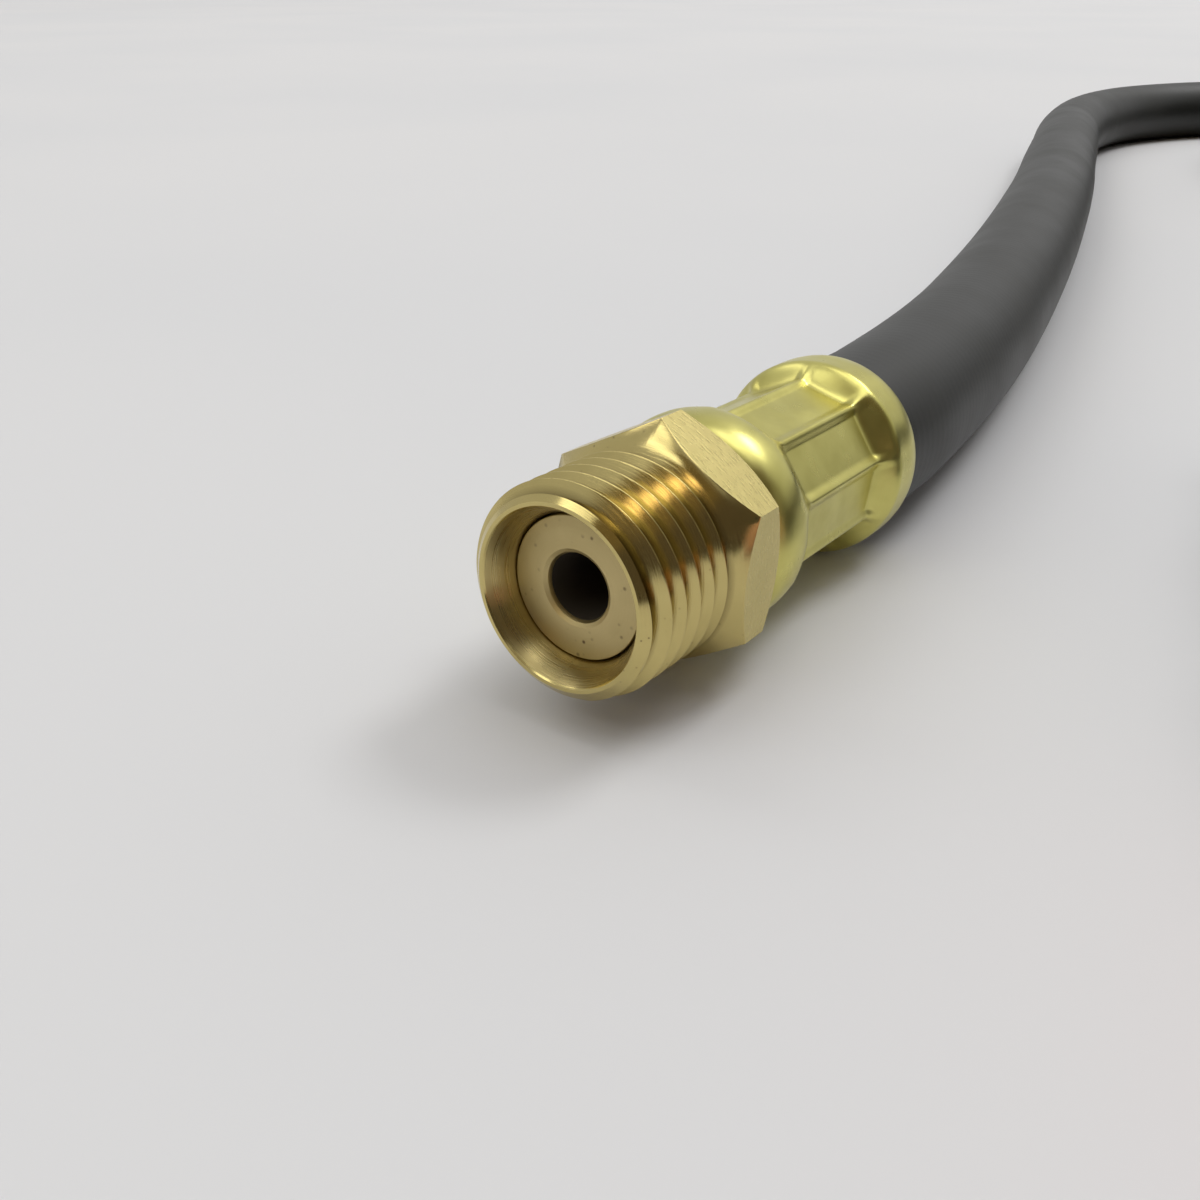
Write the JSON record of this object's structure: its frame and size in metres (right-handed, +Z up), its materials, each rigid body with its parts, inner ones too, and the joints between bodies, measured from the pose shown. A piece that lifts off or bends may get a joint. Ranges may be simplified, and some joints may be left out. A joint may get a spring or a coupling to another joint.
{
  "type": "tig torch",
  "caption": "Gas-cooled TIG torch with angled head, ceramic cup, grooved handle and a one-piece rubber power lead ending in a crimped swivel connector.",
  "frame": {"origin": "middle of the box round the torch itself, without its lead and connector, on the surface that it lies on", "axes": "+X from the head back along the handle to where the lead enters, +Y from the cup towards the back cap, +Z up"},
  "size_m": [0.3645, 0.358, 0.0277],
  "materials": {
    "nut_brass": "satin turned",
    "stem_brass": "satin turned",
    "ferrule_brass": "bright pressed",
    "hose_rubber": "smooth, slight sheen",
    "copper": "bright drawn copper",
    "moulded_rubber": "matte moulded",
    "handle_plastic": "matte moulded",
    "seal_rubber": "smooth",
    "gasket_plastic": "smooth",
    "alumina": "fired, matte",
    "tungsten": "ground"
  },
  "bodies": {
    "torch_and_lead": {"connector_stem": "stem_brass", "connector_ferrule": "ferrule_brass", "connector_hose_end": "hose_rubber", "connector_conductor": "copper", "lead_front": "hose_rubber", "lead_coil": "hose_rubber", "lead_rear": "hose_rubber", "torch_hose_end": "hose_rubber", "torch_conductor": "copper", "torch_ferrule": "ferrule_brass", "torch_stem": "stem_brass", "torch_union_nut": "nut_brass", "neck_tube": "copper", "head_core": "copper", "head_insulation": "moulded_rubber", "handle": "handle_plastic", "collet_body": "copper", "collet": "copper", "cup_gasket": "gasket_plastic"},
    "coupling_nut": {"coupling_nut": "nut_brass"},
    "cap_seal": {"cap_o_ring": "seal_rubber"},
    "back_cap": {"back_cap": "handle_plastic"},
    "ceramic_cup": {"ceramic_cup": "alumina"},
    "electrode": {"tungsten_electrode": "tungsten"}
  },
  "joints": [
    {"name": "nut_spin", "type": "hinge", "parent": "torch_and_lead", "child": "coupling_nut", "pos_m": [-0.127, 0.008, 0.00913], "axis": [0.5923, 0.8048, -0.0394], "continuous": true},
    {"name": "cap_travel", "type": "slide", "parent": "torch_and_lead", "child": "cap_seal", "axis": [0.342, 0.9371, 0.0695], "range_m": [0, 0.005]},
    {"name": "cap_turn", "type": "hinge", "parent": "cap_seal", "child": "back_cap", "pos_m": [-0.0697, 0.00515, 0.012], "axis": [0.342, 0.9371, 0.0695], "range_deg": [0, 1440]},
    {"name": "cup_turn", "type": "hinge", "parent": "torch_and_lead", "child": "ceramic_cup", "pos_m": [-0.0697, 0.00515, 0.012], "axis": [-0.342, -0.9371, -0.0695], "range_deg": [0, 90]},
    {"name": "electrode_slide", "type": "slide", "parent": "torch_and_lead", "child": "electrode", "axis": [-0.342, -0.9371, -0.0695], "range_m": [-0.004, 0.015]}
  ],
  "couplings": [
    {"joint": "cap_turn", "follows": "cap_travel", "rad_per_m": 5026.5}
  ]
}
